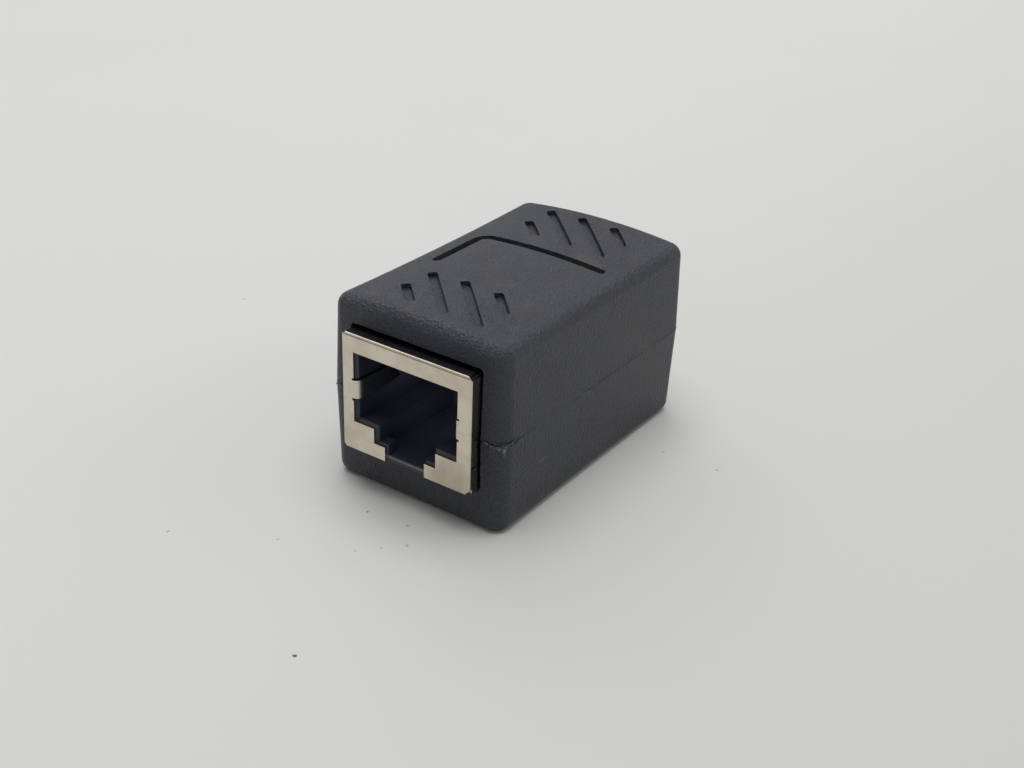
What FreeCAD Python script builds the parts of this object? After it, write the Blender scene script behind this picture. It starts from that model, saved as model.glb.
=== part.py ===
"""RJ45 inline coupler: two shielded jacks back to back on one board, in a two-part moulded casing.

Millimetres. X is the width, Y the length with the front port towards -Y, Z is up.
The origin is the middle of the flat underside. Depths run inwards from the face of a shield.
"""
import FreeCAD, Part
import math
import os

Vector = FreeCAD.Vector

# plug space of a jack
plug_width = 11.9
plug_height = 6.9
plug_depth = 12.4
latch_width = 6.9
latch_step = 1.75
slot_width = 4.6
slot_step = 1.15
lip_length = 1.45
mouth_chamfer = 0.25

# circuit board
board_thickness = 1.6
board_side_gap = 0.05
board_end_gap = 0.3
board_corner = 0.5
tail_hole = 0.8
peg_clearance = 0.1
leg_clearance = 0.15

# moulded jack housing
housing_clearance = 0.05
housing_standoff = 0.35
housing_floor = 0.4
housing_rear_room = 0.35
tongue_room = 0.15
tongue_recess = 0.85
peg_diameter = 2.6
peg_length = 2.6
peg_inset = 0.55
peg_depth = 7.5
peg_chamfer = 0.25
pad_size = 1.6

# shield, folded from one sheet
sheet = 0.25
bend_radius = 0.3
shield_standoff = 0.25
shield_side = 1.77
shield_bar = 1.82
shield_proud = 1.43
opening_side_margin = 0.3
opening_top_margin = 0.38
opening_floor_margin = 0.27
step_floor_margin = 0.13
foot_gap = 4.8
foot_corner_cut = 0.45
corner_slit_radius = 0.26
corner_slit_length = 2.6
side_slit_rise = 2.65
side_slit_height = 0.2
side_slit_length = 3.75
flap_gap = 0.45

# ground tongues, folded in from both sides of the opening
tongue_rise = 2.25
tongue_width = 1.95
tongue_slot = 0.25
tongue_slot_depth = 0.2
tongue_inset = 0.3
tongue_reach = 6.2
tongue_tip_length = 1.6
tongue_flare = 0.2

# board legs of the shield
leg_width = 1.4
leg_depth = 9.0
leg_length = 2.75
leg_taper_length = 0.9
leg_taper = 0.3

# contact springs
contact_count = 8
contact_pitch = 1.02
contact_width = 0.46
contact_thickness = 0.3
contact_bend = 0.55
contact_clearance = 0.05
contact_rise = 0.95
contact_nose_depth = 2.6
contact_nose_drop = 0.4
contact_tip_drop = 2.25
contact_tip_gap = 1.6
tail_row_gap = 1.0
tail_row_spacing = 1.78
tail_cover = 0.82
tail_length = 0.9

# carrier that holds the contact springs
carrier_edge = 0.1
carrier_nose_radius = 0.32
rib_width = 0.4
rib_height = 0.35
rib_set_back = 0.5
comb_length = 4.2
comb_drop = 2.45

# casing walls
casing_clearance = 0.13
mouth_clearance = 0.25
floor_thickness = 1.5
under_board_room = 1.35
roof_thickness = 1.5
side_wall = 2.7
end_wall = 2.05
jack_gap = 3.26

# casing outside, drafted both ways from the parting line
draft_angle = 1.3
side_waist = 0.12
crown_rise = 0.75
crown_sag = 0.2
corner_radius = 1.6
top_edge_radius = 1.3
bottom_edge_radius = 1.2
parting_chamfer = 0.1
mouth_round = 0.12
cavity_round = 0.4

# locating pins, board rails and hold-down ribs of the casing
pin_diameter = 1.3
pin_height = 1.8
pin_end_distance = 3.4
pin_chamfer = 0.25
socket_clearance = 0.1
socket_extra_depth = 0.4
rail_width = 1.6
rail_insets = ((2.6, 4.8), (10.8, 14.3))
hold_rib_width = 10.0
hold_rib_thickness = 1.2
hold_rib_height = 1.0
hold_rib_insets = (4.8, 11.8)

# grooves in the crowned top
groove_width = 1.0
groove_depth = 0.5
groove_corner = 0.3
groove_angle = -46.0
groove_lengths = (4.5, 10.0, 10.0, 4.5)
groove_centres = ((-4.2, -1.88), (-2.02, 0.0), (2.02, 0.0), (4.2, 1.88))
groove_group_inset = 6.2
bracket_width = 1.0
bracket_depth = 0.6
bracket_left = -7.37
bracket_right = 7.2
bracket_start = -3.75
bracket_line = 4.25
bracket_radius = 1.3

# how far a cutting solid runs past what it cuts, and how near counts as touching
margin = 2.0
touch = 0.01

# heights, stacked up from the underside
board_underside = floor_thickness + under_board_room
board_top = board_underside + board_thickness
housing_bottom = board_top + housing_standoff
shield_bottom = board_top + shield_standoff
slot_floor = housing_bottom + housing_floor
latch_floor = slot_floor + slot_step
plug_floor = latch_floor + latch_step
plug_top = plug_floor + plug_height
shield_top = plug_top + opening_top_margin + shield_bar
housing_top = shield_top - sheet - housing_clearance
mouth_floor = shield_bottom - mouth_clearance
mouth_top = shield_top + mouth_clearance
ceiling_height = shield_top + hold_rib_height
casing_side_height = ceiling_height + roof_thickness
parting_height = (casing_side_height + crown_rise - crown_sag) / 2
contact_height = plug_top + contact_rise
carrier_top = contact_height - contact_thickness / 2 - contact_clearance
carrier_room_top = carrier_top + rib_height + contact_clearance
tongue_bottom = plug_floor + tongue_rise
tongue_top = tongue_bottom + tongue_width

# half widths
plug_half = plug_width / 2
shield_half = plug_half + shield_side
housing_half = shield_half - sheet - housing_clearance
opening_half = plug_half + opening_side_margin
board_half = shield_half - board_side_gap
cavity_half = shield_half + casing_clearance
casing_half = cavity_half + side_wall
peg_x = plug_half - peg_inset
carrier_half = contact_pitch * contact_count / 2 + rib_width / 2 + carrier_edge

# lengths, worked out from the inside of a jack outwards
jack_depth = plug_depth + tail_row_gap + tail_row_spacing + tail_cover
shield_length = jack_depth + housing_rear_room + sheet
casing_half_length = shield_length - shield_proud + jack_gap / 2
face_y = -(casing_half_length + shield_proud)
housing_front = face_y + sheet
housing_rear = face_y + jack_depth
plug_end = face_y + plug_depth
cavity_end = casing_half_length - end_wall
board_end = cavity_end - board_end_gap


def block(x_low, x_high, y_low, y_high, z_low, z_high):
    """Box between the given limits."""
    corner = Vector(x_low, y_low, z_low)
    return Part.makeBox(x_high - x_low, y_high - y_low, z_high - z_low, corner)


def slab(half_x, y_low, y_high, z_low, z_high):
    """Box centred on the middle plane X = 0."""
    return block(-half_x, half_x, y_low, y_high, z_low, z_high)


def profile_prism(points, y_low, y_high):
    """Prism along Y from a closed outline given as (x, z) pairs."""
    corners = [Vector(x, y_low, z) for x, z in points]
    outline = Part.makePolygon(corners + corners[:1])
    return Part.Face(outline).extrude(Vector(0, y_high - y_low, 0))


def side_prism(points, x_low, x_high):
    """Prism along X from a closed outline given as (y, z) pairs."""
    corners = [Vector(x_low, y, z) for y, z in points]
    outline = Part.makePolygon(corners + corners[:1])
    return Part.Face(outline).extrude(Vector(x_high - x_low, 0, 0))


def turned(shape):
    """The same shape for the rear port, turned half a turn about Z."""
    rear_shape = shape.copy()
    rear_shape.rotate(Vector(0, 0, 0), Vector(0, 0, 1), 180)
    return rear_shape


def mirrored(shape):
    """The shape together with its mirror image across X = 0."""
    return shape.fuse(shape.mirror(Vector(0, 0, 0), Vector(1, 0, 0)))


def spans_height(edge):
    """True for an edge that runs mostly up and down."""
    limits = edge.BoundBox
    return limits.ZLength > limits.XLength + limits.YLength


def highest_face(shape):
    """Face whose centre stands highest."""
    return max(shape.Faces, key=lambda face: face.CenterOfMass.z)


def lowest_face(shape):
    """Face whose centre lies lowest."""
    return min(shape.Faces, key=lambda face: face.CenterOfMass.z)


def rounded_run(points, radius):
    """Centre line through the points: straight runs joined by tangent arcs.

    Gives a list of (start, middle, end, centre), with middle and centre None on a straight run.
    """
    runs = []
    start = points[0]
    for before, corner, after in zip(points, points[1:], points[2:]):
        arriving = (corner - before).normalize()
        leaving = (after - corner).normalize()
        half_turn = arriving.getAngle(leaving) / 2
        cut = radius * math.tan(half_turn)
        arc_start = corner - arriving * cut
        arc_end = corner + leaving * cut
        inward = (leaving - arriving).normalize()
        centre = corner + inward * (radius / math.cos(half_turn))
        runs.append((start, None, arc_start, None))
        runs.append((arc_start, centre - inward * radius, arc_end, centre))
        start = arc_end
    runs.append((start, None, points[-1], None))
    return runs


def offset_edges(runs, shift):
    """Edges of a centre line moved to its right-hand side by the shift."""
    edges = []
    for start, middle, end, centre in runs:
        side = (end - start).normalize().cross(Vector(0, 0, 1))
        if centre is None:
            edges.append(Part.LineSegment(start + side * shift, end + side * shift).toShape())
        else:
            radius = (start - centre).Length
            bulges_right = (middle - centre).dot(side) > 0
            scale = (radius + shift if bulges_right else radius - shift) / radius
            arc = [centre + (point - centre) * scale for point in (start, middle, end)]
            edges.append(Part.Arc(*arc).toShape())
    return edges


def bent_strip(points, radius, thickness, width):
    """Strip of even thickness that follows the points in the XY plane, extruded up by the width."""
    runs = rounded_run(points, radius)
    left = offset_edges(runs, -thickness / 2)
    right = offset_edges(runs, thickness / 2)
    start_cap = Part.LineSegment(left[0].Vertexes[0].Point, right[0].Vertexes[0].Point).toShape()
    end_cap = Part.LineSegment(left[-1].Vertexes[-1].Point, right[-1].Vertexes[-1].Point).toShape()
    outline = Part.Wire(Part.__sortEdges__(left + right + [start_cap, end_cap]))
    return Part.Face(outline).extrude(Vector(0, 0, width))


def upright(shape):
    """Turns a shape drawn in XY, with its width along Z, into YZ with its width along X."""
    shape.Placement = FreeCAD.Placement(Vector(0, 0, 0), FreeCAD.Rotation(Vector(1, 1, 1), 120))
    return shape


def waisted_outline(height):
    """Casing outline at a height: drafted away from the parting line, sides drawn in at mid length."""
    inset = abs(height - parting_height) * math.tan(math.radians(draft_angle))
    half_x = casing_half - inset
    half_y = casing_half_length - inset
    front_left, front_right, rear_right, rear_left = [
        Vector(side * half_x, end * half_y, height)
        for side, end in ((-1, -1), (1, -1), (1, 1), (-1, 1))
    ]
    right_middle = Vector(half_x - side_waist, 0, height)
    left_middle = Vector(side_waist - half_x, 0, height)
    return Part.Wire([
        Part.LineSegment(front_left, front_right).toShape(),
        Part.Arc(front_right, right_middle, rear_right).toShape(),
        Part.LineSegment(rear_right, rear_left).toShape(),
        Part.Arc(rear_left, left_middle, front_left).toShape(),
    ])


def half_blank(far_height):
    """Drafted block between the parting line and the far height, with rounded upright corners."""
    blank = Part.makeLoft([waisted_outline(parting_height), waisted_outline(far_height)], True, True)
    corner_edges = [edge for edge in blank.Edges if spans_height(edge)]
    return blank.makeFillet(corner_radius, corner_edges)


def crown_height(x, y):
    """Height of the crowned top: highest along the middle, a little lower at mid length."""
    rise = crown_rise * (1 - (x / casing_half) ** 2)
    sag = crown_sag * (1 - (y / casing_half_length) ** 2)
    return casing_side_height + rise - sag


def above_crown(depth):
    """Everything above the crowned top, or above the same surface lowered by the depth."""
    reach_x = casing_half + margin
    reach_y = casing_half_length + margin
    lift = Vector(0, 0, crown_rise + 2 * margin)
    sections = []
    for y in (-reach_y, 0, reach_y):
        left = Vector(-reach_x, y, crown_height(reach_x, y) - depth)
        middle = Vector(0, y, crown_height(0, y) - depth)
        right = Vector(reach_x, y, crown_height(reach_x, y) - depth)
        sections.append(Part.Wire([
            Part.Arc(left, middle, right).toShape(),
            Part.LineSegment(right, right + lift).toShape(),
            Part.LineSegment(right + lift, left + lift).toShape(),
            Part.LineSegment(left + lift, left).toShape(),
        ]))
    return Part.makeLoft(sections, True, False)


def grip_grooves():
    """Plan prisms of both groups of diagonal grooves."""
    tall = casing_side_height + margin
    prisms = []
    group_place = casing_half_length - groove_group_inset
    for group_y in (-group_place, group_place):
        for length, (x, y) in zip(groove_lengths, groove_centres):
            prism = block(-length / 2, length / 2, -groove_width / 2, groove_width / 2, 0, tall)
            prism = prism.makeFillet(groove_corner, [edge for edge in prism.Edges if spans_height(edge)])
            prism.rotate(Vector(0, 0, 0), Vector(0, 0, 1), groove_angle)
            prism.translate(Vector(x, group_y + y, 0))
            prisms.append(prism)
    return prisms


def bracket_groove():
    """Plan prism of the L-shaped groove, with a rounded corner and rounded ends."""
    run = [
        Vector(bracket_left, bracket_start, 0),
        Vector(bracket_left, bracket_line, 0),
        Vector(bracket_right, bracket_line, 0),
    ]
    tall = casing_side_height + margin
    groove = bent_strip(run, bracket_radius, bracket_width, tall)
    for end in (run[0], run[-1]):
        groove = groove.fuse(Part.makeCylinder(bracket_width / 2, tall, end))
    return groove.removeSplitter()


def upper_outside():
    """Crowned, rounded and grooved outside of the upper half."""
    body = half_blank(casing_side_height + crown_rise + margin).cut(above_crown(0))
    body = body.makeFillet(top_edge_radius, highest_face(body).OuterWire.Edges)
    body = body.makeChamfer(parting_chamfer, lowest_face(body).OuterWire.Edges)
    grip_space = above_crown(groove_depth)
    for prism in grip_grooves():
        body = body.cut(prism.common(grip_space))
    return body.cut(bracket_groove().common(above_crown(bracket_depth)))


def lower_outside():
    """Drafted outside of the lower half, with a flat underside."""
    body = half_blank(0)
    body = body.makeFillet(bottom_edge_radius, lowest_face(body).OuterWire.Edges)
    return body.makeChamfer(parting_chamfer, highest_face(body).OuterWire.Edges)


def through_cavity(z_low, z_high):
    """Room for both jacks, open at both ends, with rounded long edges."""
    reach = casing_half_length + margin
    room = slab(cavity_half, -reach, reach, z_low, z_high)
    long_edges = [edge for edge in room.Edges if edge.BoundBox.YLength > casing_half_length]
    return room.makeFillet(cavity_round, long_edges)


def round_mouths(shell):
    """Rounds the rim of the casing where the shields come out."""
    rim = []
    for edge in shell.Edges:
        limits = edge.BoundBox
        at_end = max(abs(limits.YMin), abs(limits.YMax)) > cavity_end + touch
        in_end_plane = limits.YLength < end_wall / 2
        across_mouth = max(abs(limits.XMin), abs(limits.XMax)) < cavity_half + touch
        within_mouth = limits.ZMin > mouth_floor - touch and limits.ZMax < mouth_top + touch
        if at_end and in_end_plane and across_mouth and within_mouth:
            rim.append(edge)
    return shell.makeFillet(mouth_round, rim)


def pin_places():
    """Places of the four locating pins, in the middle of the side walls."""
    x = (cavity_half + casing_half) / 2
    y = casing_half_length - pin_end_distance
    return [(side * x, end * y) for side in (-1, 1) for end in (-1, 1)]


def make_upper_shell():
    """Upper half of the casing: grooved crown outside, hold-down ribs and pin sockets inside."""
    shell = upper_outside().cut(through_cavity(parting_height - margin, mouth_top))
    headroom = slab(cavity_half - cavity_round, -cavity_end, cavity_end, mouth_top - margin, ceiling_height)
    shell = shell.cut(headroom)
    for inset in hold_rib_insets:
        low = casing_half_length - inset - hold_rib_thickness / 2
        rib = slab(hold_rib_width / 2, low, low + hold_rib_thickness, shield_top, ceiling_height)
        shell = shell.fuse(rib).fuse(turned(rib))
    socket_radius = pin_diameter / 2 + socket_clearance
    for x, y in pin_places():
        base = Vector(x, y, parting_height)
        shell = shell.cut(Part.makeCylinder(socket_radius, pin_height + socket_extra_depth, base))
    return round_mouths(shell.removeSplitter())


def make_lower_shell():
    """Lower half of the casing: board rails inside and locating pins on the parting face."""
    shell = lower_outside().cut(through_cavity(mouth_floor, parting_height + margin))
    shell = shell.cut(slab(cavity_half, -cavity_end, cavity_end, floor_thickness, parting_height))
    for outer_inset, inner_inset in rail_insets:
        near = casing_half_length - inner_inset
        far = casing_half_length - outer_inset
        rail = block(cavity_half - rail_width, cavity_half, near, far, floor_thickness, board_underside)
        rails = mirrored(rail)
        shell = shell.fuse(rails).fuse(turned(rails))
    for x, y in pin_places():
        pin = Part.makeCylinder(pin_diameter / 2, pin_height, Vector(x, y, parting_height))
        shell = shell.fuse(pin.makeChamfer(pin_chamfer, highest_face(pin).Edges))
    return round_mouths(shell.removeSplitter())


def folds_rounded(body, radius):
    """Rounds the top and upright edges of a box, as the folds of a sheet."""
    top = body.BoundBox.ZMax - touch
    folds = [edge for edge in body.Edges if edge.BoundBox.ZMin > top or spans_height(edge)]
    return body.makeFillet(radius, folds)


def folded_box():
    """Sheet box with rounded folds, open underneath."""
    rear = face_y + shield_length
    outer = slab(shield_half, face_y, rear, shield_bottom, shield_top)
    low = shield_bottom - margin
    inner = slab(shield_half - sheet, face_y + sheet, rear - sheet, low, shield_top - sheet)
    return folds_rounded(outer, bend_radius).cut(folds_rounded(inner, bend_radius - sheet))


def plate_opening():
    """Stepped cut-out of the front plate, open at the bottom between two feet."""
    step_half = latch_width / 2 + opening_side_margin
    step_floor = latch_floor - step_floor_margin
    opening_floor = plug_floor - opening_floor_margin
    right = [
        (foot_gap / 2, shield_bottom - margin),
        (foot_gap / 2, step_floor),
        (step_half, step_floor),
        (step_half, opening_floor),
        (opening_half, opening_floor),
        (opening_half, plug_top + opening_top_margin),
    ]
    left = [(-x, z) for x, z in reversed(right)]
    return profile_prism(right + left, face_y - margin, face_y + 2 * sheet)


def tongue_slots():
    """Relief slots above and below each ground tongue."""
    low = tongue_bottom - tongue_slot
    high = tongue_top + tongue_slot
    slot = block(0, opening_half + tongue_slot_depth, face_y - margin, face_y + 2 * sheet, low, high)
    return mirrored(slot)


def ground_tongues():
    """Tongues folded back from the plate along both sides of the plug space."""
    root_x = opening_half + tongue_slot_depth
    tongue_x = plug_half - tongue_inset + sheet / 2
    sheet_y = face_y + sheet / 2
    run = [
        Vector(root_x + sheet, sheet_y, 0),
        Vector(tongue_x, sheet_y, 0),
        Vector(tongue_x, face_y + tongue_reach - tongue_tip_length, 0),
        Vector(tongue_x + tongue_flare, face_y + tongue_reach, 0),
    ]
    tongue = bent_strip(run, root_x - tongue_x, sheet, tongue_width)
    tongue.translate(Vector(0, 0, tongue_bottom))
    return mirrored(tongue)


def side_slits():
    """Narrow level slit low in each side wall, from the front plate backwards."""
    y_low = face_y + sheet
    z_low = shield_bottom + side_slit_rise
    y_high = y_low + side_slit_length
    z_high = z_low + side_slit_height
    return mirrored(block(shield_half - bend_radius, shield_half + margin, y_low, y_high, z_low, z_high))


def foot_corner_cuts():
    """Slanting cuts at the bottom corners of the front plate."""
    outline = [
        (shield_half - foot_corner_cut, shield_bottom - margin),
        (shield_half - foot_corner_cut, shield_bottom),
        (shield_half, shield_bottom + foot_corner_cut),
        (shield_half + margin, shield_bottom + foot_corner_cut),
        (shield_half + margin, shield_bottom - margin),
    ]
    return mirrored(profile_prism(outline, face_y - margin, face_y + bend_radius + sheet))


def corner_slits():
    """Slits between the top flange and the side flanges behind the plate's top corners."""
    middle = sheet / 2
    base = Vector(shield_half - middle, face_y + middle, shield_top - middle)
    slit = Part.makeCylinder(corner_slit_radius, corner_slit_length, base, Vector(0, 1, 0))
    return mirrored(slit)


def rear_flap_slits():
    """Gaps that leave the rear wall as a flap hanging from the top."""
    rear = face_y + shield_length
    fold = shield_top - bend_radius
    slit = block(shield_half - flap_gap, shield_half + margin, rear - flap_gap, rear + margin, 0, fold)
    return mirrored(slit)


def board_legs():
    """Tapered legs that pass through the board."""
    half = leg_width / 2
    middle = face_y + leg_depth
    root = shield_bottom + leg_width
    tip = shield_bottom - leg_length
    outline = [
        (middle - half, root),
        (middle - half, tip + leg_taper_length),
        (middle - half + leg_taper, tip),
        (middle + half - leg_taper, tip),
        (middle + half, tip + leg_taper_length),
        (middle + half, root),
    ]
    return mirrored(side_prism(outline, shield_half - sheet, shield_half))


def make_shield():
    """Folded shield of the front port."""
    shield = folded_box()
    front_cuts = [plate_opening(), tongue_slots(), foot_corner_cuts()]
    flange_cuts = [side_slits(), corner_slits(), rear_flap_slits()]
    for cut in front_cuts + flange_cuts:
        shield = shield.cut(cut)
    return shield.fuse(ground_tongues()).fuse(board_legs()).removeSplitter()


def key_outline(low_half):
    """Right-hand outline of the plug space, from its lowest floor up, with the given lowest half width."""
    return [
        (low_half, slot_floor),
        (low_half, latch_floor),
        (latch_width / 2, latch_floor),
        (latch_width / 2, plug_floor),
        (plug_half, plug_floor),
        (plug_half, plug_top),
    ]


def both_sides(right):
    """Closed outline made of a right-hand side and its mirror image."""
    return right + [(-x, z) for x, z in reversed(right)]


def mouth_lead_in():
    """Slanting lead-in round the front of the plug space."""
    back = key_outline(slot_width / 2)
    widened = []
    for x, z in back:
        drop = 0 if z == slot_floor else mouth_chamfer
        rise = -drop if z < plug_top else drop
        widened.append((x + mouth_chamfer, z + rise))
    wires = []
    for y, right in ((housing_front, widened), (housing_front + mouth_chamfer, back)):
        corners = [Vector(x, y, z) for x, z in both_sides(right)]
        wires.append(Part.makePolygon(corners + corners[:1]))
    return Part.makeLoft(wires, True, True)


def plug_space():
    """Everything a plug and its latch need, with the latch lip left standing at the front."""
    mouth = profile_prism(both_sides(key_outline(slot_width / 2)), housing_front - margin, plug_end)
    chamber_y = housing_front + lip_length
    chamber = slab(latch_width / 2, chamber_y, plug_end, slot_floor, plug_floor)
    return mouth.fuse(chamber).fuse(mouth_lead_in())


def carrier_room():
    """Room for the contact carrier: a leg space open at the rear and a flat space above the plug."""
    rear = housing_rear + margin
    leg_space = slab(plug_half, plug_end, rear, housing_bottom - margin, carrier_room_top)
    front = face_y + contact_nose_depth - contact_thickness / 2 - contact_clearance
    half = carrier_half + contact_clearance
    flat_space = slab(half, front, rear, plug_top - contact_thickness, carrier_room_top)
    return leg_space.fuse(flat_space)


def tongue_recesses():
    """Recesses in the side walls behind the ground tongues."""
    low = tongue_bottom - tongue_room
    high = tongue_top + tongue_room
    rear = face_y + tongue_reach + tongue_recess
    recess = block(0, plug_half + tongue_recess, housing_front - margin, rear, low, high)
    return mirrored(recess)


def pegs_and_pads():
    """Locating pegs, and the pads that stand on the board."""
    base = Vector(peg_x, face_y + peg_depth, housing_bottom - peg_length)
    peg = Part.makeCylinder(peg_diameter / 2, peg_length, base)
    feet = peg.makeChamfer(peg_chamfer, lowest_face(peg).Edges)
    front_pad = -board_end + pad_size / 2
    rear_pad = plug_end - pad_size
    for low in (front_pad, rear_pad):
        pad = block(housing_half - pad_size, housing_half, low, low + pad_size, board_top, housing_bottom)
        feet = feet.fuse(pad)
    return mirrored(feet)


def make_housing():
    """Moulded housing of the front jack."""
    body = slab(housing_half, housing_front, housing_rear, housing_bottom, housing_top)
    folds = []
    for edge in body.Edges:
        limits = edge.BoundBox
        at_front = limits.YMin < housing_front + touch
        along_top = limits.ZMin > housing_top - touch
        if at_front and (along_top or spans_height(edge)):
            folds.append(edge)
    body = body.makeFillet(bend_radius - sheet, folds)
    for room in (plug_space(), carrier_room(), tongue_recesses()):
        body = body.cut(room)
    return body.fuse(pegs_and_pads()).removeSplitter()


def contact_x(number):
    """Sideways place of a contact, the first on the left seen from the front."""
    return (number - (contact_count + 1) / 2) * contact_pitch


def tail_y(number):
    """Place of a contact's tail: odd contacts in the first row, even ones in the second."""
    first_row = plug_end + tail_row_gap
    return first_row if number % 2 else first_row + tail_row_spacing


def make_contact(number):
    """Contact spring: tail, rise, run over the carrier, nose and slanting spring arm."""
    rise_y = tail_y(number)
    nose_y = face_y + contact_nose_depth
    run = [
        Vector(rise_y, board_underside - tail_length, 0),
        Vector(rise_y, contact_height, 0),
        Vector(nose_y, contact_height, 0),
        Vector(nose_y, plug_top - contact_nose_drop, 0),
        Vector(plug_end - contact_tip_gap, plug_top - contact_tip_drop, 0),
    ]
    spring = upright(bent_strip(run, contact_bend, contact_thickness, contact_width))
    spring.translate(Vector(contact_x(number) - contact_width / 2, 0, 0))
    return spring


def contact_channel(number):
    """Room in the carrier for one contact's tail and the bend above it."""
    half = contact_width / 2 + contact_clearance
    near = contact_thickness / 2 + contact_clearance
    low_x = contact_x(number) - half
    high_x = contact_x(number) + half
    middle = tail_y(number)
    top = carrier_top + margin
    tail = block(low_x, high_x, middle - near, middle + near, 0, top)
    bend_bottom = contact_height - contact_bend - contact_thickness
    bend = block(low_x, high_x, middle - contact_bend - near, middle + near, bend_bottom, top)
    return tail.fuse(bend)


def make_carrier():
    """Contact carrier: a flat plate over the plug, ribs above it, a comb below and a leg behind."""
    leg_front = plug_end + housing_clearance
    leg_back = housing_rear - housing_clearance
    nose = face_y + contact_nose_depth + contact_thickness / 2 + 2 * contact_clearance
    plate_bottom = plug_top - contact_clearance
    plate = slab(carrier_half, nose, leg_front, plate_bottom, carrier_top)
    at_nose = [edge for edge in plate.Edges if edge.BoundBox.YMax < nose + touch]
    plate = plate.makeFillet(carrier_nose_radius, [edge for edge in at_nose if not spans_height(edge)])
    leg = slab(plug_half - housing_clearance, leg_front, leg_back, board_top, carrier_top)
    carrier = plate.fuse(leg)
    for number in range(contact_count + 1):
        middle = contact_x(number) + contact_pitch / 2
        low_x = middle - rib_width / 2
        high_x = middle + rib_width / 2
        rib = block(low_x, high_x, nose + rib_set_back, leg_back, carrier_top, carrier_top + rib_height)
        tooth = block(low_x, high_x, plug_end - comb_length, leg_front, plug_top - comb_drop, plate_bottom)
        carrier = carrier.fuse(rib).fuse(tooth)
    for number in range(1, contact_count + 1):
        carrier = carrier.cut(contact_channel(number))
    return carrier.removeSplitter()


def board_holes():
    """Holes and edge notches of the board at its front end."""
    low = board_underside - margin
    high = board_top + margin
    holes = []
    for number in range(1, contact_count + 1):
        place = Vector(contact_x(number), tail_y(number), low)
        holes.append(Part.makeCylinder(tail_hole / 2, high - low, place))
    for x in (-peg_x, peg_x):
        place = Vector(x, face_y + peg_depth, low)
        holes.append(Part.makeCylinder(peg_diameter / 2 + peg_clearance, high - low, place))
    half = leg_width / 2 + leg_clearance
    middle = face_y + leg_depth
    notch = block(shield_half - sheet - leg_clearance, shield_half, middle - half, middle + half, low, high)
    holes.append(mirrored(notch))
    return holes


def make_board():
    """Board that carries both jacks."""
    board = slab(board_half, -board_end, board_end, board_underside, board_top)
    board = board.makeFillet(board_corner, [edge for edge in board.Edges if spans_height(edge)])
    for hole in board_holes():
        board = board.cut(hole).cut(turned(hole))
    return board


def make_nodes():
    """Every node of the coupler by name."""
    nodes = {
        "upper_shell": make_upper_shell(),
        "lower_shell": make_lower_shell(),
        "circuit_board": make_board(),
    }
    jack = {
        "shield": make_shield(),
        "jack_housing": make_housing(),
        "contact_carrier": make_carrier(),
    }
    for number in range(1, contact_count + 1):
        jack["contact_%d" % number] = make_contact(number)
    for name, shape in jack.items():
        nodes["front_" + name] = shape
        nodes["rear_" + name] = turned(shape)
    return nodes


def write_nodes():
    """Writes one STEP file for each node."""
    os.makedirs("parts", exist_ok=True)
    for name, shape in make_nodes().items():
        solids = shape.Solids
        print(name, "solids", len(solids), "valid", shape.isValid(), "volume", round(shape.Volume, 2))
        single = solids[0] if len(solids) == 1 else shape
        single.exportStep("parts/%s.step" % name)


write_nodes()
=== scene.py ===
import math
import bpy
import numpy as np
from mathutils import Matrix, Vector


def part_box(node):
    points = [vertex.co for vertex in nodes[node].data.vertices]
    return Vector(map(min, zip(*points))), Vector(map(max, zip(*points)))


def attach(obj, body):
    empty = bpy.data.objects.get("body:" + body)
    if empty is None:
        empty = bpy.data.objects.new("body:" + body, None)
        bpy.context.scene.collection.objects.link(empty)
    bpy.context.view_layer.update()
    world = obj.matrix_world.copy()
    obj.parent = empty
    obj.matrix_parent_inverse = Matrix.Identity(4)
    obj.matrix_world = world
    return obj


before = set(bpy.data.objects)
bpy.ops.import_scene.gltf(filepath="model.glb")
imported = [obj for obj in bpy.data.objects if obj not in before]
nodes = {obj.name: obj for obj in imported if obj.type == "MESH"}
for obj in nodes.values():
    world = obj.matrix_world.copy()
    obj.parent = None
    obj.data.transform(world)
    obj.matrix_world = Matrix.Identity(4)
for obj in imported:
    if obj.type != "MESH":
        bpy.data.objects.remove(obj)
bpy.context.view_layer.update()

mm = 0.001
casingLow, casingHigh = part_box("lower_shell")[0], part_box("upper_shell")[1]
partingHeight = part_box("upper_shell")[0].z
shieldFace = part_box("front_shield")[0].y
print("frame loaded:", len(nodes), "nodes")

cameraView = {
    "azimuth": 33.926,                      # degrees round the object, towards +X
    "elevation": 28.302,                    # degrees above the horizon
    "roll": 2.314,                          # degrees, turns the picture about the line of sight
    "distance": 147.99 * mm,
    "target": (1.12 * mm, -1.84 * mm, 7.54 * mm),
    "lens": 50.17,                          # mm on a sensor 36 mm wide
    "nearest": 5 * mm,
    "farthest": 60.0,
}


def placeCamera(view):
    # eye = target + distance * (sin az cos el, -cos az cos el, sin el); up is back x right, and both turn by the roll
    az, el, roll = (math.radians(view[key]) for key in ("azimuth", "elevation", "roll"))
    back = Vector((math.sin(az) * math.cos(el), -math.cos(az) * math.cos(el), math.sin(el)))
    right = Vector((math.cos(az), math.sin(az), 0))
    up = back.cross(right)
    turnedRight = right * math.cos(roll) + up * math.sin(roll)
    turnedUp = up * math.cos(roll) - right * math.sin(roll)
    pose = Matrix((turnedRight, turnedUp, back)).transposed().to_4x4()
    pose.translation = Vector(view["target"]) + back * view["distance"]
    data = bpy.data.cameras.new("camera")
    data.lens = view["lens"]
    data.clip_start = view["nearest"]
    data.clip_end = view["farthest"]
    camera = bpy.data.objects.new("camera", data)
    bpy.context.scene.collection.objects.link(camera)
    camera.matrix_world = pose
    bpy.context.scene.camera = camera


placeCamera(cameraView)
print("camera placed")


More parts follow.
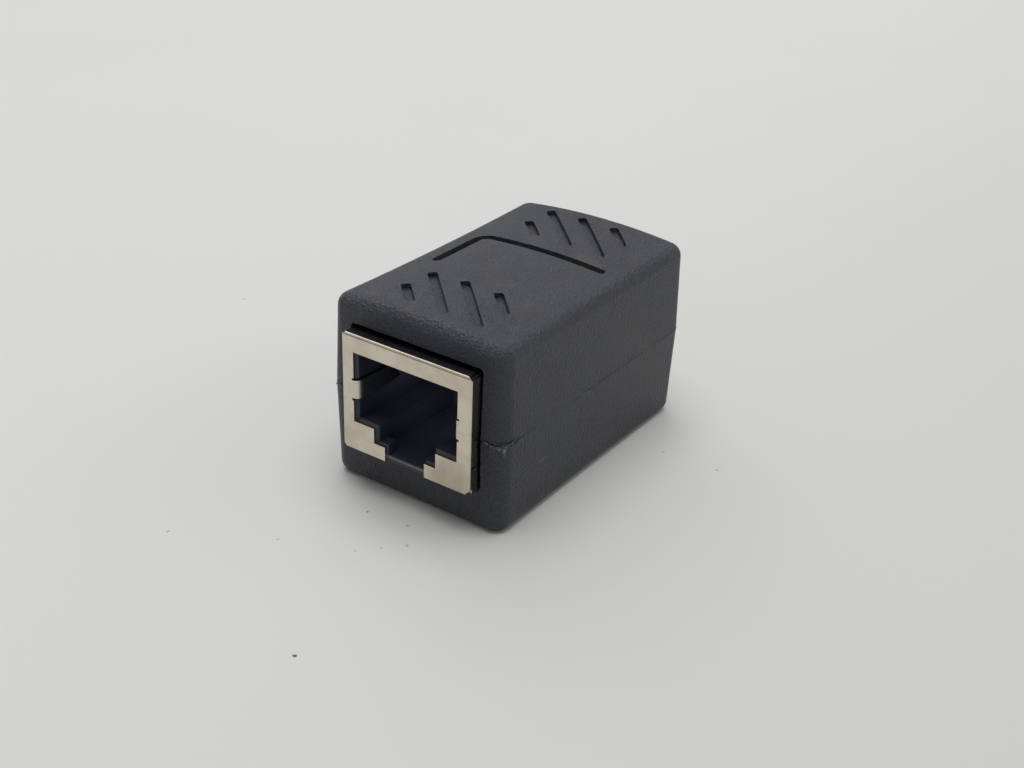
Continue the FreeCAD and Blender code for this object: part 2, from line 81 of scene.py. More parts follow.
class Signal:
    # a value that varies over the surface; an expression on it adds Math nodes
    def __init__(self, recipe, socket):
        self.recipe = recipe
        self.socket = socket

    def math(self, operation, *values):
        return self.recipe.add("ShaderNodeMath", {"operation": operation}, *values)

    def __add__(self, other):
        return self.math("ADD", self, other)

    def __radd__(self, other):
        return self.math("ADD", other, self)

    def __sub__(self, other):
        return self.math("SUBTRACT", self, other)

    def __rsub__(self, other):
        return self.math("SUBTRACT", other, self)

    def __mul__(self, other):
        return self.math("MULTIPLY", self, other)

    def __rmul__(self, other):
        return self.math("MULTIPLY", other, self)

    def __lt__(self, other):
        return self.math("LESS_THAN", self, other)

    def __gt__(self, other):
        return self.math("GREATER_THAN", self, other)

    def size(self):
        return self.math("ABSOLUTE", self)

    def wave(self):
        return self.math("SINE", self)

    def most(self, other):
        return self.math("MAXIMUM", self, other)


class Recipe:
    # the nodes of one material or of the world; add() makes any node from its type, settings and inputs
    def __init__(self, owner, shader, coordinates):
        owner.use_nodes = True
        self.owner = owner
        self.tree = owner.node_tree
        self.shader = self.tree.nodes[shader]
        self.place = self.add("ShaderNodeTexCoord", {}, out=coordinates)

    def add(self, kind, settings, *inOrder, out=0, **byName):
        node = self.tree.nodes.new(kind)
        for key, value in settings.items():
            setattr(node, key, value)
        given = list(enumerate(inOrder)) + [(key.replace("_", " "), value) for key, value in byName.items()]
        for key, value in given:
            if isinstance(value, Signal):
                self.tree.links.new(value.socket, node.inputs[key])
            elif value is not None:
                node.inputs[key].default_value = value
        return Signal(self, node.outputs[out])

    def feed(self, socket, value):
        # links a value to the shader itself
        self.tree.links.new(value.socket, self.shader.inputs[socket])

    def stretched(self, scale, turn=(0, 0, 0)):
        # coordinates turned, then scaled differently along each axis
        return self.add("ShaderNodeMapping", {}, Vector=self.place, Rotation=turn, Scale=scale)

    def noise(self, scale, detail=3.0, rough=0.5, at=None):
        # soft noise, 0.5 on average
        return self.add("ShaderNodeTexNoise", {}, Vector=at or self.place, Scale=scale, Detail=detail, Roughness=rough)

    def cells(self, scale, at=None, out="Distance"):
        # distance to the middle of the nearest cell, or that cell's own colour
        return self.add("ShaderNodeTexVoronoi", {}, out=out, Vector=at or self.place, Scale=scale)

    def chosen(self, scale, share, at=None):
        # 1 in the given share of the cells, 0 in the others
        tint = self.add("ShaderNodeSeparateColor", {}, self.cells(scale, at=at, out="Color"))
        return tint < share

    def fade(self, value, low, high, lowOut=0.0, highOut=1.0):
        # smooth step from lowOut at low to highOut at high, level outside them
        return self.add("ShaderNodeMapRange", {"interpolation_type": "SMOOTHSTEP"}, value, low, high, lowOut, highOut)

    def away(self, spot):
        # distance from a spot on the object
        return self.add("ShaderNodeVectorMath", {"operation": "DISTANCE"}, self.place, spot, out="Value")

    def mix(self, share, first, second):
        # first * (1 - share) + second * share; the node takes its colours at inputs 6 and 7
        inputs = [share] + [None] * 5 + [first, second]
        return self.add("ShaderNodeMix", {"data_type": "RGBA"}, *inputs, out=2)

    def bump(self, height, distance, strength=1.0, after=None):
        # relief as deep as the distance for a height of 1, on top of the relief in after
        return self.add("ShaderNodeBump", {}, Height=height, Distance=distance, Strength=strength, Normal=after)

    def axes(self):
        # x, y and z, one by one
        parts = self.add("ShaderNodeSeparateXYZ", {}, self.place).socket.node
        return [Signal(self, output) for output in parts.outputs]

    def rays(self):
        # 1 where the camera looks straight at it, and 1 where a mirror or glass shows it
        path = self.add("ShaderNodeLightPath", {}).socket.node
        seen = [Signal(self, path.outputs["Is %s Ray" % kind]) for kind in ("Camera", "Glossy", "Transmission")]
        return seen[0], seen[1].most(seen[2])


def newMaterial(name, **fixed):
    # values that are the same all over go straight on the shader's sockets
    recipe = Recipe(bpy.data.materials.new(name), "Principled BSDF", "Object")
    for socket, value in fixed.items():
        recipe.shader.inputs[socket.replace("_", " ")].default_value = value
    return recipe


def paint(names, recipe):
    # puts the recipe's material in every slot of the named CAD nodes
    for name in names:
        slots = nodes[name].data.materials
        if not slots:
            slots.append(recipe.owner)
        for index in range(len(slots)):
            slots[index] = recipe.owner


def shown(red, green, blue):
    # display values 0 to 255 as the linear colour that a socket takes
    levels = [((v / 255 + 0.055) / 1.055) ** 2.4 if v > 10.3 else v / 255 / 12.92 for v in (red, green, blue)]
    return (*levels, 1.0)


def scaled(colour, factor):
    # the colour with each level times the factor, at most 1
    return (*[min(1.0, level * factor) for level in colour[:3]], 1.0)


# casing: charcoal plastic with a spark-eroded skin
casingLooks = {
    "colour": shown(41, 43, 51),
    "worn": shown(66, 68, 77),
    # painted shade: the colour of the torn parting line and its chips
    "crackAndShade": shown(14, 14, 17),
    "dust": shown(176, 174, 168),
    "grease": shown(84, 78, 68),
    "pitSize": 0.27 * mm,
    "pitDepth": 0.13 * mm,
    "smallPits": 2.1,                       # how many times finer the small pits are
    "grain": 2.6,                           # and the grain
    "rimGlints": 0.45,                       # share of the worn tone on the rims of the pits, painted glints
    "patchScale": 170,
    "paleness": 0.3,                        # share of the worn tone in the large patches
    "roughness": 0.34,
    "tornReach": 4.2 * mm,                  # how far the torn parting line runs from the front right corner
    "tornWander": 0.9 * mm,
    "wanderScale": 900,
    "crackWidth": 0.20 * mm,
    "crackShadeMatt": 0.85,                      # share of the sheen that the painted shade in the torn line takes away
    "chipScale": 2900,
    "chipReach": 0.65 * mm,                 # how far from the line the skin is chipped
    "lumpScale": 1900,
    "lumpReach": 1.0 * mm,
    "lumpHeight": 0.35 * mm,
    "dustScale": 420,
    "dustShare": 0.05,                      # share of the cells that hold a fleck
    "speckRagged": 0.25 * mm,
    "scratchScale": (260, 90, 1500),
    "scratchTurn": (0.45, 0.1, 0.15),       # radians about X, Y and Z
    "scratchShare": 0.07,
    "greaseScale": 330,
    "greaseDepth": (1.6 * mm, 0.6 * mm),    # below the highest point, where grease begins and is full
    "specks": (                             # dust: place on the long sides and radius, in mm
        ((10.5, -1.15, 12.23), 0.16),
        ((10.5, -0.41, 10.80), 0.13),
        ((10.5, -1.80, 9.79), 0.17),
        ((10.5, -1.27, 3.51), 0.15),
        ((10.5, -9.40, 7.60), 0.10),
        ((-10.5, 3.60, 8.10), 0.13),
        ((-10.5, -6.20, 13.9), 0.11),
    ),
}


def casingRecipe(looks):
    # worn plastic: tone, then pale rims painted as glints, grease, dust and scratches, and painted shade in the torn
    # line over all
    recipe = newMaterial("casing", IOR=1.5)
    z = recipe.axes()[2]
    # spark texture: rounded pits of two sizes with a fine grain over them
    pits = recipe.cells(1 / looks["pitSize"])
    smallPits = recipe.cells(looks["smallPits"] / looks["pitSize"])
    grain = recipe.noise(looks["grain"] / looks["pitSize"], 3.0, 0.6)
    skin = pits + smallPits * 0.5 + grain * 0.7
    patches = recipe.noise(looks["patchScale"], 3.0)
    # torn parting line: a groove that wanders up and down near the front right corner, with painted shade in it and on
    # the chipped skin beside it: black colour and no sheen
    corner = (casingHigh.x, casingLow.y, partingHeight)
    torn = recipe.fade(recipe.away(corner), 0.35 * looks["tornReach"], looks["tornReach"], 1.0, 0.0)
    wander = (recipe.noise(looks["wanderScale"], 4.0, 0.65) - 0.5) * looks["tornWander"]
    offLine = (z - partingHeight - wander * torn).size()
    crackAndShade = recipe.fade(offLine, 0.3 * looks["crackWidth"], looks["crackWidth"], 1.0, 0.0) * torn
    chipped = recipe.noise(looks["chipScale"], 3.0) > 0.54
    chipShade = recipe.fade(offLine, 0.15 * mm, looks["chipReach"], 1.0, 0.0) * torn * torn * chipped
    lumps = recipe.fade(offLine, 0.2 * mm, looks["lumpReach"], 1.0, 0.0) * torn * recipe.noise(looks["lumpScale"], 3.0)
    # painted shade: black where the torn line and its chips would lie in shade
    paintedShade = crackAndShade.most(chipShade * 0.8)
    # dust: set specks, and small flecks in a few cells all over
    flecks = recipe.fade(recipe.cells(looks["dustScale"]), 0.03, 0.08, 1.0, 0.0)
    dust = recipe.chosen(looks["dustScale"], looks["dustShare"]) * flecks
    for spot, radius in looks["specks"]:
        place = tuple(value * mm for value in spot)
        ragged = recipe.away(place) + (grain - 0.5) * looks["speckRagged"]
        dust = dust.most(recipe.fade(ragged, 0.3 * radius * mm, radius * mm, 1.0, 0.0))
    # short pale scratches: thin slanting cells, few of them marked
    slant = recipe.stretched(looks["scratchScale"], looks["scratchTurn"])
    middles = recipe.fade(recipe.cells(1.0, at=slant), 0.03, 0.10, 1.0, 0.0)
    scratch = recipe.chosen(1.0, looks["scratchShare"], slant) * middles
    # grease from handling, on the top only
    begins, full = (casingHigh.z - depth for depth in looks["greaseDepth"])
    grease = recipe.fade(recipe.noise(looks["greaseScale"], 3.0, 0.6), 0.58, 0.72) * recipe.fade(z, begins, full)
    tone = recipe.mix(recipe.fade(patches, 0.35, 0.7, 0.0, looks["paleness"]), looks["colour"], looks["worn"])
    # painted glints: the pale worn tone on the pit rims
    tone = recipe.mix(recipe.fade(pits + grain * 0.4, 0.5, 0.95, 0.0, looks["rimGlints"]), tone, looks["worn"])
    tone = recipe.mix(grease * 0.35, tone, looks["grease"])
    tone = recipe.mix((dust * 0.75).most(scratch * 0.4), tone, looks["dust"])
    recipe.feed("Base Color", recipe.mix(paintedShade, tone, looks["crackAndShade"]))
    # the painted shade takes the sheen away too, as black metal
    recipe.feed("Metallic", paintedShade * looks["crackShadeMatt"])
    recipe.feed("Roughness", looks["roughness"] + patches * 0.10 + dust * 0.3)
    fine = recipe.bump(skin, looks["pitDepth"])
    recipe.feed("Normal", recipe.bump(lumps - crackAndShade * 0.5, looks["lumpHeight"], after=fine))
    return recipe


paint(("upper_shell", "lower_shell"), casingRecipe(casingLooks))
print("casing finished")

# shields: nickel-plated steel, folded from sheet
shieldLooks = {
    "colour": shown(216, 206, 191),
    "dull": shown(202, 189, 172),
    # also the colour of the painted shade on a foot
    "scuffAndShade": shown(150, 138, 122),
    "walls": shown(118, 120, 127),          # painted shade and painted reflection of the black casing, behind the front plate
    "plateDepth": (0.2 * mm, 0.5 * mm),     # behind the face, where the painted shade begins and is full
    "topRim": (0.25 * mm, 0.5 * mm),        # below the top, where the painted shade fades and is weakest
    "sideShade": 0.4,                        # share of the painted shade on the sides
    "tongueSide": 6.6 * mm,                 # the tongues lie within this of the middle
    "tongueTop": 1 * mm,                    # and at least this far below the top
    "tongueMatt": 0.3,
    "footShade": ((5.5 * mm, -18.23 * mm, 5.9 * mm), 3.0 * mm, 0.38),     # darker spot on the right foot, painted shade where it mirrors the shadowed floor: place, radius, share
    "roughness": 0.13,
    "lineWidth": 0.07 * mm,                 # rolling lines along the sheet
    "lineLength": 2.6 * mm,
    "lineDepth": 0.0012 * mm,
    "blotchScale": 420,
    "stainScale": 800,
    "waveScale": 700,
    "waveDepth": 0.006 * mm,
}


def shieldRecipe(looks):
    # plated sheet: cloudy tone, rolling lines and stains, painted shade behind the plate and on one foot, and a slow
    # wave in the relief
    recipe = newMaterial("shield", Metallic=1.0)
    across, along = 1 / looks["lineWidth"], 1 / looks["lineLength"]
    rolled = recipe.noise(1.0, 3.0, 0.6, at=recipe.stretched((along, across, across)))
    blotch = recipe.noise(looks["blotchScale"], 4.0, 0.6)
    stain = recipe.fade(recipe.noise(looks["stainScale"], 3.0, 0.7), 0.60, 0.75)
    tone = recipe.mix(recipe.fade(blotch, 0.35, 0.7), looks["colour"], looks["dull"])
    tone = recipe.mix(recipe.fade(rolled, 0.55, 0.8, 0.0, 0.18).most(stain * 0.12), tone, looks["scuffAndShade"])
    # painted shade: a darker spot on the right foot
    spot, radius, share = looks["footShade"]
    tone = recipe.mix(recipe.fade(recipe.away(spot), 0.4 * radius, radius, share, 0.0), tone, looks["scuffAndShade"])
    # painted shade on what lies behind the plate: the top wall, the tongues and, less so, the sides
    x, y, z = recipe.axes()
    begins, full = (-shieldFace - depth for depth in looks["plateDepth"])
    behind = recipe.fade(y.size(), full, begins, 1.0, 0.0)
    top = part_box("front_shield")[1].z
    tongues = (x.size() < looks["tongueSide"]) * (z < top - looks["tongueTop"])
    fades, weakest = (top - depth for depth in looks["topRim"])
    paintedShade = recipe.fade(z, weakest, fades, looks["sideShade"], 1.0).most(tongues)
    recipe.feed("Base Color", recipe.mix(behind * paintedShade, tone, looks["walls"]))
    matt = behind * tongues * looks["tongueMatt"]
    recipe.feed("Roughness", looks["roughness"] + matt + rolled * 0.08 + blotch * 0.05)
    lines = recipe.bump(rolled, looks["lineDepth"])
    recipe.feed("Normal", recipe.bump(recipe.noise(looks["waveScale"], 2.0), looks["waveDepth"], after=lines))
    return recipe


paint(("front_shield", "rear_shield"), shieldRecipe(shieldLooks))
print("shields finished")

# jack housings and contact carriers: black moulded plastic, polished inside the port
mouldLooks = {
    "lip": shown(50, 52, 58),
    "lipDepth": (0.12 * mm, 0.30 * mm),     # behind the lip's face, down to where it is textured and where that ends
    "lipPaler": 1.25,                       # brightness of the lip's pale patches
    "inside": shown(47, 51, 67),
    # painted light: a paler bluish tone deeper in the port
    "deepPaintedLight": shown(112, 120, 148),
    "deepReach": (1 * mm, 9 * mm),          # behind the face, where the painted light deeper in the port begins and is full
    "carrier": shown(98, 106, 132),
    "carrierPaler": 1.35,
    "sillHighlight": shown(150, 148, 146),           # painted highlight along the edge of the lowest step of the lip
    "sillHeight": 5.2 * mm,
    "sillWidth": (0.04 * mm, 0.12 * mm),    # to each side, where it is full and where it ends
    "roughness": 0.36,
    "patchScale": 900,
    "skinScale": 6000,
    "skinDepth": 0.006 * mm,
    "flowScale": (2600, 350, 2600),
    "flowDepth": 0.003 * mm,
}


def housingRecipe(looks):
    # the front lip is textured and rough; inside, the polished plastic turns paler with depth, painted light where the
    # port lies in shade
    recipe = newMaterial("housing", IOR=1.5)
    y, z = recipe.axes()[1:]
    face = -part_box("front_jack_housing")[0].y
    textured, ends = (face - depth for depth in looks["lipDepth"])
    lip = recipe.fade(y.size(), ends, textured)
    patches = recipe.noise(looks["patchScale"], 3.0)
    skin = recipe.noise(looks["skinScale"], 2.0)
    # painted light: paler with depth inside the port
    begins, full = (face - depth for depth in looks["deepReach"])
    deepPaintedLight = recipe.fade(y.size(), full, begins, 1.0, 0.0)
    inside = recipe.mix(deepPaintedLight * (0.8 + patches * 0.4), looks["inside"], looks["deepPaintedLight"])
    outer = recipe.mix(recipe.fade(patches, 0.3, 0.75), looks["lip"], scaled(looks["lip"], looks["lipPaler"]))
    # painted highlight: a pale line along the lowest step of the lip
    sillHighlight = recipe.fade((z - looks["sillHeight"]).size(), *looks["sillWidth"], 1.0, 0.0) * lip
    recipe.feed("Base Color", recipe.mix(sillHighlight * 0.6, recipe.mix(lip, inside, outer), looks["sillHighlight"]))
    recipe.feed("Roughness", looks["roughness"] + lip * 0.15 + patches * 0.10)
    recipe.feed("Normal", recipe.bump(skin * (0.3 + lip * 0.7), looks["skinDepth"]))
    return recipe


def carrierRecipe(looks):
    # thin flow lines run back from the gate at the front edge
    recipe = newMaterial("carrier", IOR=1.5)
    flow = recipe.noise(1.0, 3.0, at=recipe.stretched(looks["flowScale"]))
    patches = recipe.fade(recipe.noise(looks["patchScale"], 3.0), 0.3, 0.75)
    paler = scaled(looks["carrier"], looks["carrierPaler"])
    recipe.feed("Base Color", recipe.mix(patches, looks["carrier"], paler))
    recipe.feed("Roughness", looks["roughness"] + flow * 0.15)
    recipe.feed("Normal", recipe.bump(flow, looks["flowDepth"]))
    return recipe


paint(("front_jack_housing", "rear_jack_housing"), housingRecipe(mouldLooks))
paint(("front_contact_carrier", "rear_contact_carrier"), carrierRecipe(mouldLooks))
print("housings and carriers finished")

# contacts: drawn wire, gold where the plug touches and tin on the tails
contactLooks = {
    "gold": shown(232, 190, 110),
    "tin": shown(198, 194, 184),
    "roughness": 0.22,
    "goldFrom": (0.55, 0.62),               # share of the contact's height where tin gives way to gold
    "drawnScale": (9000, 700, 700),         # drawing marks along the wire
    "drawnDepth": 0.001 * mm,
    "wornScale": 2500,
    "wornShare": 0.25,                      # share of tin where the gold is worn through
}


def contactRecipe(looks):
    # tin below, gold above, with drawing marks along the wire
    recipe = newMaterial("contact", Metallic=1.0)
    low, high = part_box("front_contact_1")
    drawn = recipe.noise(1.0, 2.0, at=recipe.stretched(looks["drawnScale"]))
    start, end = (low.z + (high.z - low.z) * share for share in looks["goldFrom"])
    plated = recipe.fade(recipe.axes()[2], start, end)
    worn = recipe.fade(recipe.noise(looks["wornScale"], 3.0), 0.5, 0.8, 0.0, looks["wornShare"])
    gold = recipe.mix(worn, looks["gold"], looks["tin"])
    recipe.feed("Base Color", recipe.mix(plated, looks["tin"], gold))
    recipe.feed("Roughness", looks["roughness"] + drawn * 0.15)
    recipe.feed("Normal", recipe.bump(drawn, looks["drawnDepth"]))
    return recipe


contactNames = [name for name in nodes if "_contact_" in name and not name.endswith("carrier")]
paint(contactNames, contactRecipe(contactLooks))
print("contacts finished:", len(contactNames))

# board: green lacquer over woven glass, bare at its cut edge
boardLooks = {
    "lacquer": shown(28, 84, 52),
    "edge": shown(176, 168, 120),
    "weave": 0.4 * mm,
    "weaveDepth": 0.002 * mm,
    "lacquerDepth": 0.06 * mm,
    "lacquerPaler": 1.5,
    "blotchScale": 500,
}


def boardRecipe(looks):
    # weave height = sin(2 pi x / weave) * sin(2 pi y / weave)
    recipe = newMaterial("board", IOR=1.5)
    low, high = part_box("circuit_board")
    x, y, z = recipe.axes()
    turns = 2 * math.pi / looks["weave"]
    weave = (x * turns).wave() * (y * turns).wave()
    blotch = recipe.noise(looks["blotchScale"], 3.0)
    paler = scaled(looks["lacquer"], looks["lacquerPaler"])
    lacquer = recipe.mix(recipe.fade(blotch, 0.3, 0.7), looks["lacquer"], paler)
    core = (z - (low.z + high.z) / 2).size() < (high.z - low.z) / 2 - looks["lacquerDepth"]
    recipe.feed("Base Color", recipe.mix(core, lacquer, looks["edge"]))
    recipe.feed("Roughness", 0.3 + core * 0.4 + blotch * 0.1)
    recipe.feed("Normal", recipe.bump(weave, looks["weaveDepth"], 0.6))
    return recipe


paint(("circuit_board",), boardRecipe(boardLooks))
print("board finished")

# flash: the thin torn skin of plastic that stands out of the parting line between the ports
flashLooks = {
    "skin": shown(50, 52, 60),
    "whitened": shown(138, 140, 148),       # stretched plastic turns pale
    "leastWhitened": 0.25,                  # share of that outside the pale patches
    "fibreScale": (6500, 6500, 2600),
    "fibreDepth": 0.05 * mm,
    "patchScale": 1500,
    "roughness": 0.34,
}


def flashRecipe(looks):
    # fibres that run up and down, pale where the skin was stretched
    recipe = newMaterial("flash", IOR=1.5)
    fibres = recipe.noise(1.0, 4.0, 0.7, at=recipe.stretched(looks["fibreScale"]))
    patches = recipe.fade(recipe.noise(looks["patchScale"], 3.0), 0.42, 0.62, looks["leastWhitened"], 1.0)
    pale = recipe.fade(fibres, 0.40, 0.66) * patches
    recipe.feed("Base Color", recipe.mix(pale, looks["skin"], looks["whitened"]))
    recipe.feed("Roughness", looks["roughness"] + fibres * 0.2)
    recipe.feed("Normal", recipe.bump(fibres, looks["fibreDepth"]))
    return recipe


flashShape = {
    "samples": 1400,                        # points along the rim
    "around": 10,                           # points round the bead, and on each side of a flap
    "cornerRadius": 1.6 * mm,
    "waist": 0.12 * mm,                     # how far the long sides draw in halfway
    "mouthHalf": 8.1 * mm,                  # where the line meets the port
    "inset": 0.06 * mm,                     # depth of the bead's middle in the groove
    "body": 0.045 * mm,                     # plain half thickness of the bead
    "outward": 1.4,                         # its plain reach outwards, in half thicknesses
    "swelling": 1.3,                        # how much thicker it gets where it is torn
    "ragged": 0.30 * mm,                    # how far the torn flash stands out
    "wander": 0.22 * mm,                    # how far it wanders up and down where it is torn
    "waves": (0.11 * mm, 0.23 * mm, 0.51 * mm),
    "rippleGain": 1.3,                      # brings the sum of the waves to about 1
    "taper": 0.3 * mm,                      # length over which both ends thin out
    "thinnest": 0.02,                       # share of the thickness that is left at an end or edge
    "torn": (                               # end of the part, side, strength, reach
        (-1, 1, 1.0, 2.0 * mm),
        (-1, -1, 0.9, 1.8 * mm),
        (1, 1, 0.45, 1.6 * mm),
        (1, -1, 0.6, 1.8 * mm),
    ),
    "along": 0.34,                          # strength of the raggedness on the long sides
    "seeds": {1: 7, -1: 11},                # one for each side
    # torn skin at the front right corner: place along the rim, half length, height (below zero it hangs), curl, seed
    "flaps": (
        (1.65 * mm, 0.80 * mm, -0.90 * mm, 0.20 * mm, 40),
        (2.75 * mm, 0.60 * mm, 0.70 * mm, 0.18 * mm, 61),
        (2.30 * mm, 0.40 * mm, -1.25 * mm, 0.13 * mm, 53),
    ),
    "flapThickness": 0.05 * mm,
    "flapRagged": 0.4,                      # share of its height and lean that the ripples change
    "flapBend": 1.4,                        # power of v in the curl
    "flapFold": 0.30,                       # depth of its folds, in shares of the curl
    "foldTurns": 1.5,                       # half waves of a fold from the foot to the edge
}


def rimPath(shape, side):
    # half of the rounded rectangle, from the front port round two corners to the rear port, walked by length:
    # straight, quarter circle, straight, quarter circle, straight; the side draws in as 1 - (y / halfY)^2
    r, halfX, halfY = shape["cornerRadius"], casingHigh.x, casingHigh.y
    lengths = np.array([halfX - r - shape["mouthHalf"], r * math.pi / 2, 2 * (halfY - r)])
    ends = np.cumsum(lengths[[0, 1, 2, 1, 0]])
    s = np.linspace(0, ends[-1], shape["samples"])
    leg = np.minimum(np.searchsorted(ends, s, side="right"), 4)
    along = s - np.concatenate([[0], ends])[leg]
    turn = np.choose(leg, [0 * s, along / r, 0 * s + math.pi / 2, math.pi / 2 + along / r, 0 * s + math.pi])
    outX, outY = np.sin(turn), -np.cos(turn)
    x = np.choose(leg, [shape["mouthHalf"] + along, halfX - r + r * outX, 0 * s + halfX, halfX - r + r * outX,
                        halfX - r - along])
    y = np.choose(leg, [0 * s - halfY, r - halfY + r * outY, r - halfY + along, halfY - r + r * outY, 0 * s + halfY])
    x = x - shape["waist"] * (1 - (y / halfY) ** 2) * np.abs(outX)
    return np.stack([side * x, y], -1), np.stack([side * outX, outY], -1), s


def ripple(shape, s, rng, stretch=1):
    # sum over the waves of random heights, one every wave along s, joined by straight lines; about -1 to 1
    total = 0 * s
    for wave in shape["waves"]:
        spacing = stretch * wave
        knots = np.arange(s[0], s[-1] + spacing, spacing)
        total = total + np.interp(s, knots, rng.uniform(-1, 1, len(knots)))
    return total * shape["rippleGain"] / math.sqrt(len(shape["waves"]))


def partingFlash(shape, side):
    # section carried along the rim: half an ellipse outwards, a flat oval inwards; its outward reach, its
    # thickness and its height follow the ripples where the line is torn, and it tapers to nothing at both ends
    rim, outward, s = rimPath(shape, side)
    rng = np.random.default_rng(shape["seeds"][side])
    strength = 0 * s + shape["along"]
    for end, across, most, reach in shape["torn"]:
        gone = (rim[:, 0] - across * casingHigh.x) ** 2 + (rim[:, 1] - end * casingHigh.y) ** 2
        strength = np.maximum(strength, most * np.exp(-gone / reach ** 2))
    tear = np.clip(ripple(shape, s, rng), 0, 1)
    taper = np.clip(np.minimum(s, s[-1] - s) / shape["taper"], shape["thinnest"], 1)
    reach = (shape["body"] * shape["outward"] + shape["ragged"] * tear * strength) * taper
    swelling = shape["swelling"] * strength * np.clip(ripple(shape, s, rng), -0.4, 1)
    thick = shape["body"] * (1 + swelling) * taper
    lift = shape["wander"] * strength * ripple(shape, s, rng, 2)
    angle = side * np.arange(shape["around"]) / shape["around"] * 2 * math.pi
    lobes = np.where(np.cos(angle)[None, :] > 0, reach[:, None], shape["body"] * taper[:, None])
    radial = np.cos(angle)[None, :] * lobes - shape["inset"]
    points = np.empty((len(s), shape["around"], 3))
    points[..., :2] = rim[:, None, :] + outward[:, None, :] * radial[..., None]
    points[..., 2] = partingHeight + lift[:, None] + np.sin(angle)[None, :] * thick[:, None]
    return points


def tornFlap(shape, middle, half, height, curl, seed):
    # thin skin from the parting line: height * exp(-((s - middle) / half)^2) tall with a ragged edge, leaning
    # out by curl * v^bend at share v of its height, plus folds; the section goes up outside and back inside
    rim, outward, s = rimPath(shape, 1)
    part = np.abs(s - middle) < 2 * half
    rim, outward, s = rim[part], outward[part], s[part]
    rng = np.random.default_rng(seed)
    even, uneven = 1 - shape["flapRagged"], shape["flapRagged"]
    ragged = even + uneven * ripple(shape, s, rng)
    tall = height * np.exp(-((s - middle) / half) ** 2) * ragged
    v = np.linspace(0, 1, shape["around"])
    fold = ripple(shape, s, rng)[:, None] * np.sin(v * math.pi * shape["foldTurns"])[None, :]
    rise = v[None, :] ** shape["flapBend"] * (even + uneven * ragged[:, None])
    lean = curl * (rise + shape["flapFold"] * fold)
    skin = shape["flapThickness"] * np.sqrt(np.clip(1 - v, shape["thinnest"], 1))
    outer, inner = lean + skin[None, :], (lean - skin[None, :])[:, ::-1]
    z = np.concatenate([tall[:, None] * v[None, :], tall[:, None] * v[None, ::-1]], 1)
    radial = np.concatenate([outer, inner], 1)
    points = np.empty((len(s), 2 * shape["around"], 3))
    points[..., :2] = rim[:, None, :] + outward[:, None, :] * radial[..., None]
    points[..., 2] = partingHeight + z
    return points if height > 0 else points[:, ::-1]    # a hanging flap is turned, so that its faces point outwards


def surfaceMesh(name, grids):
    # each grid has rows along a path and columns round its section: quads between the rows, a flat cap at each end
    vertices, faces, start = [], [], 0
    for grid in grids:
        rows, columns = grid.shape[:2]
        index = start + np.arange(rows * columns).reshape(rows, columns)
        turnedOn = np.roll(index, -1, 1)
        quads = np.stack([index[:-1], index[1:], turnedOn[1:], turnedOn[:-1]], -1).reshape(-1, 4)
        faces += quads.tolist() + [index[0].tolist(), index[-1, ::-1].tolist()]
        vertices += grid.reshape(-1, 3).tolist()
        start += rows * columns
    mesh = bpy.data.meshes.new(name)
    mesh.from_pydata(vertices, [], faces)
    mesh.polygons.foreach_set("use_smooth", np.ones(len(faces), bool))
    mesh.update()
    piece = bpy.data.objects.new(name, mesh)
    bpy.context.scene.collection.objects.link(piece)
    return piece


beads = [partingFlash(flashShape, side) for side in (1, -1)]
flaps = [tornFlap(flashShape, *flap) for flap in flashShape["flaps"]]
flash = surfaceMesh("parting_flash", beads + flaps)
flash.data.materials.append(flashRecipe(flashLooks).owner)
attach(flash, "root")
print("parting flash made")

# studio: pale floor, soft light from above and behind, and a backdrop for the camera and for reflections
studio = {
    "floor": shown(214, 214, 213),
    "floorPaler": 1.03,                         # brightness of the mottle
    "mottleScale": 25,
    "floorRightShade": shown(200, 201, 193),
    "rightFrom": (-0.06, 0.12),                 # along X, where the painted shade on the right begins and is full
    "floorHalf": 12.0,
    "farFrom": (0.3, 0.9),                      # distance at which the floor begins to fade, and has faded
    "crumb": shown(96, 92, 82),
    "gritScale": 3600,
    "grit": 0.6 * mm,                           # raggedness of the crumbs
    "crumbs": (                                 # place on the floor and radius in mm, share of the crumb's colour
        ((6.7, -41.2, 0), 0.24, 1.0),
        ((-2.6, -20.7, 0), 0.14, 0.7),
        ((2.0, -20.2, 0), 0.24, 0.45),
        ((4.0, -22.8, 0), 0.22, 0.4),
        ((0.7, -26.4, 0), 0.20, 0.35),
        ((2.4, -24.6, 0), 0.15, 0.5),
        ((-6.2, -29.5, 0), 0.20, 0.3),
        ((-15.3, -34.9, 0), 0.19, 0.55),
        ((-46.4, 7.0, 0), 0.30, 0.3),
        ((14.6, 7.4, 0), 0.22, 0.35),
        ((20.9, 7.7, 0), 0.22, 0.35),
    ),
    "backdrop": shown(214, 214, 213),
    "ambient": (0.33, 0.33, 0.33, 1.0),
    "mirroredLow": (0.14, 0.14, 0.145, 1.0),    # what metal and gloss show near the horizon
    "mirroredHigh": (0.5, 0.5, 0.5, 1.0),       # and overhead
    "mirroredRise": (0.1, 0.7),                 # height of the direction where the first ends and the second begins
    "lamps": (                                  # name, place, size, power, colour
        ("overhead", (0.0, 0.0, 1.3), 1.1, 9.8, (1.0, 1.0, 1.0)),
        ("key", (-0.8, 0.7, 0.9), 1.2, 4.7, (1.0, 1.0, 1.0)),
        ("fill", (0.9, 0.8, 0.7), 1.0, 2.0, (1.0, 1.0, 1.0)),
    ),
}


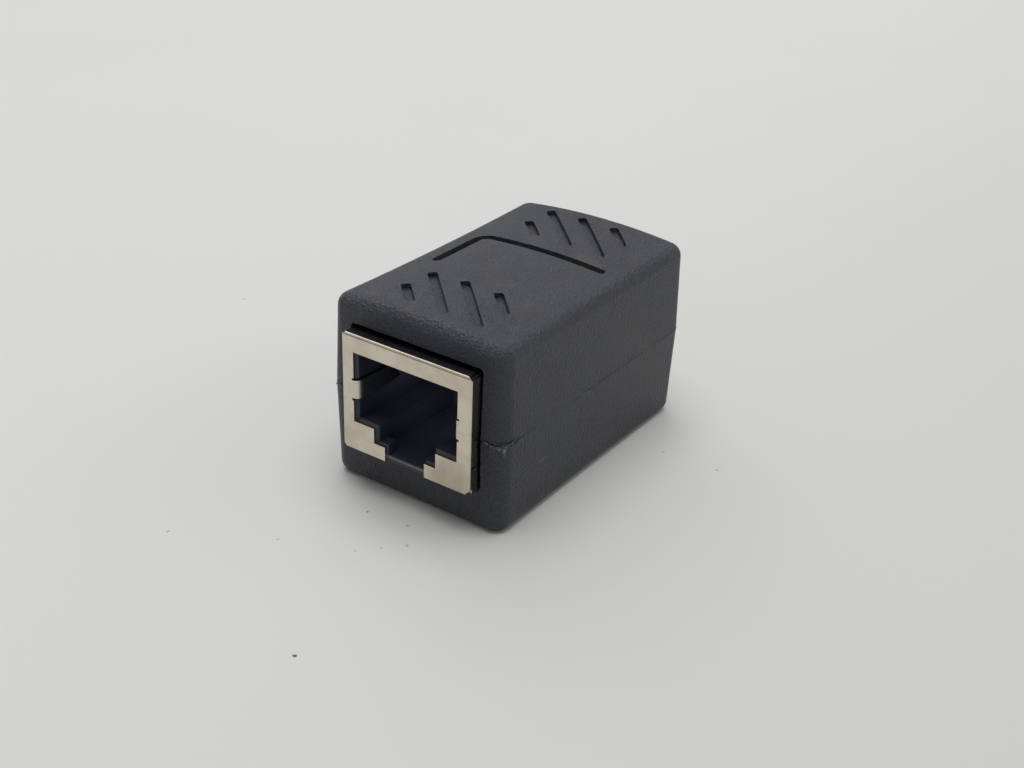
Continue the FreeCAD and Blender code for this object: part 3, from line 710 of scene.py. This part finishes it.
def makeFloor(looks):
    # square of side 2 * half at z = 0; each crumb's share falls from its middle to its ragged edge
    half = looks["floorHalf"]
    mesh = bpy.data.meshes.new("floor")
    mesh.from_pydata([(-half, -half, 0), (half, -half, 0), (half, half, 0), (-half, half, 0)], [], [(0, 1, 2, 3)])
    recipe = newMaterial("floor", Roughness=0.7, Emission_Strength=1.0, Specular_IOR_Level=0.0)
    mottle = recipe.noise(looks["mottleScale"], 4.0)
    tone = recipe.mix(mottle, looks["floor"], scaled(looks["floor"], looks["floorPaler"]))
    # painted shade: the floor darker towards +X
    tone = recipe.mix(recipe.fade(recipe.axes()[0], *looks["rightFrom"]), tone, looks["floorRightShade"])
    grit = (recipe.noise(looks["gritScale"], 3.0) - 0.5) * looks["grit"]
    for place, radius, share in looks["crumbs"]:
        ragged = recipe.away(tuple(value * mm for value in place)) + grit
        crumb = recipe.fade(ragged, 0.4 * radius * mm, radius * mm, share, 0.0)
        tone = recipe.mix(crumb, tone, looks["crumb"])
    # far off, the camera and reflections see the backdrop instead
    far = recipe.fade(recipe.away((0, 0, 0)), *looks["farFrom"])
    byCamera, byGloss = recipe.rays()
    black = (0.0, 0.0, 0.0, 1.0)
    recipe.feed("Base Color", recipe.mix(far, tone, black))
    recipe.feed("Emission Color", recipe.mix(far * byCamera.most(byGloss), black, looks["backdrop"]))
    mesh.materials.append(recipe.owner)
    floor = bpy.data.objects.new("floor", mesh)
    bpy.context.scene.collection.objects.link(floor)


def makeWorld(looks):
    # the camera sees the backdrop, reflections see it graded from horizon to zenith, the rest is ambient light
    world = bpy.data.worlds.new("world")
    bpy.context.scene.world = world
    recipe = Recipe(world, "Background", "Generated")
    height = recipe.axes()[2]
    byCamera, byGloss = recipe.rays()
    graded = recipe.mix(recipe.fade(height, *looks["mirroredRise"]), looks["mirroredLow"], looks["mirroredHigh"])
    recipe.feed("Color", recipe.mix(byCamera, recipe.mix(byGloss, looks["ambient"], graded), looks["backdrop"]))


def addLamp(name, place, size, power, colour):
    # a round lamp that points at the middle of the floor and that the camera doesn't see
    data = bpy.data.lights.new(name, "AREA")
    data.shape = "DISK"
    data.size = size
    data.energy = power
    data.color = colour
    light = bpy.data.objects.new(name, data)
    bpy.context.scene.collection.objects.link(light)
    light.location = place
    light.rotation_euler = (-Vector(place)).to_track_quat("-Z", "Y").to_euler()
    light.visible_camera = False


makeFloor(studio)
makeWorld(studio)
for lamp in studio["lamps"]:
    addLamp(*lamp)
bpy.context.scene.view_settings.view_transform = "Standard"
print("studio made")
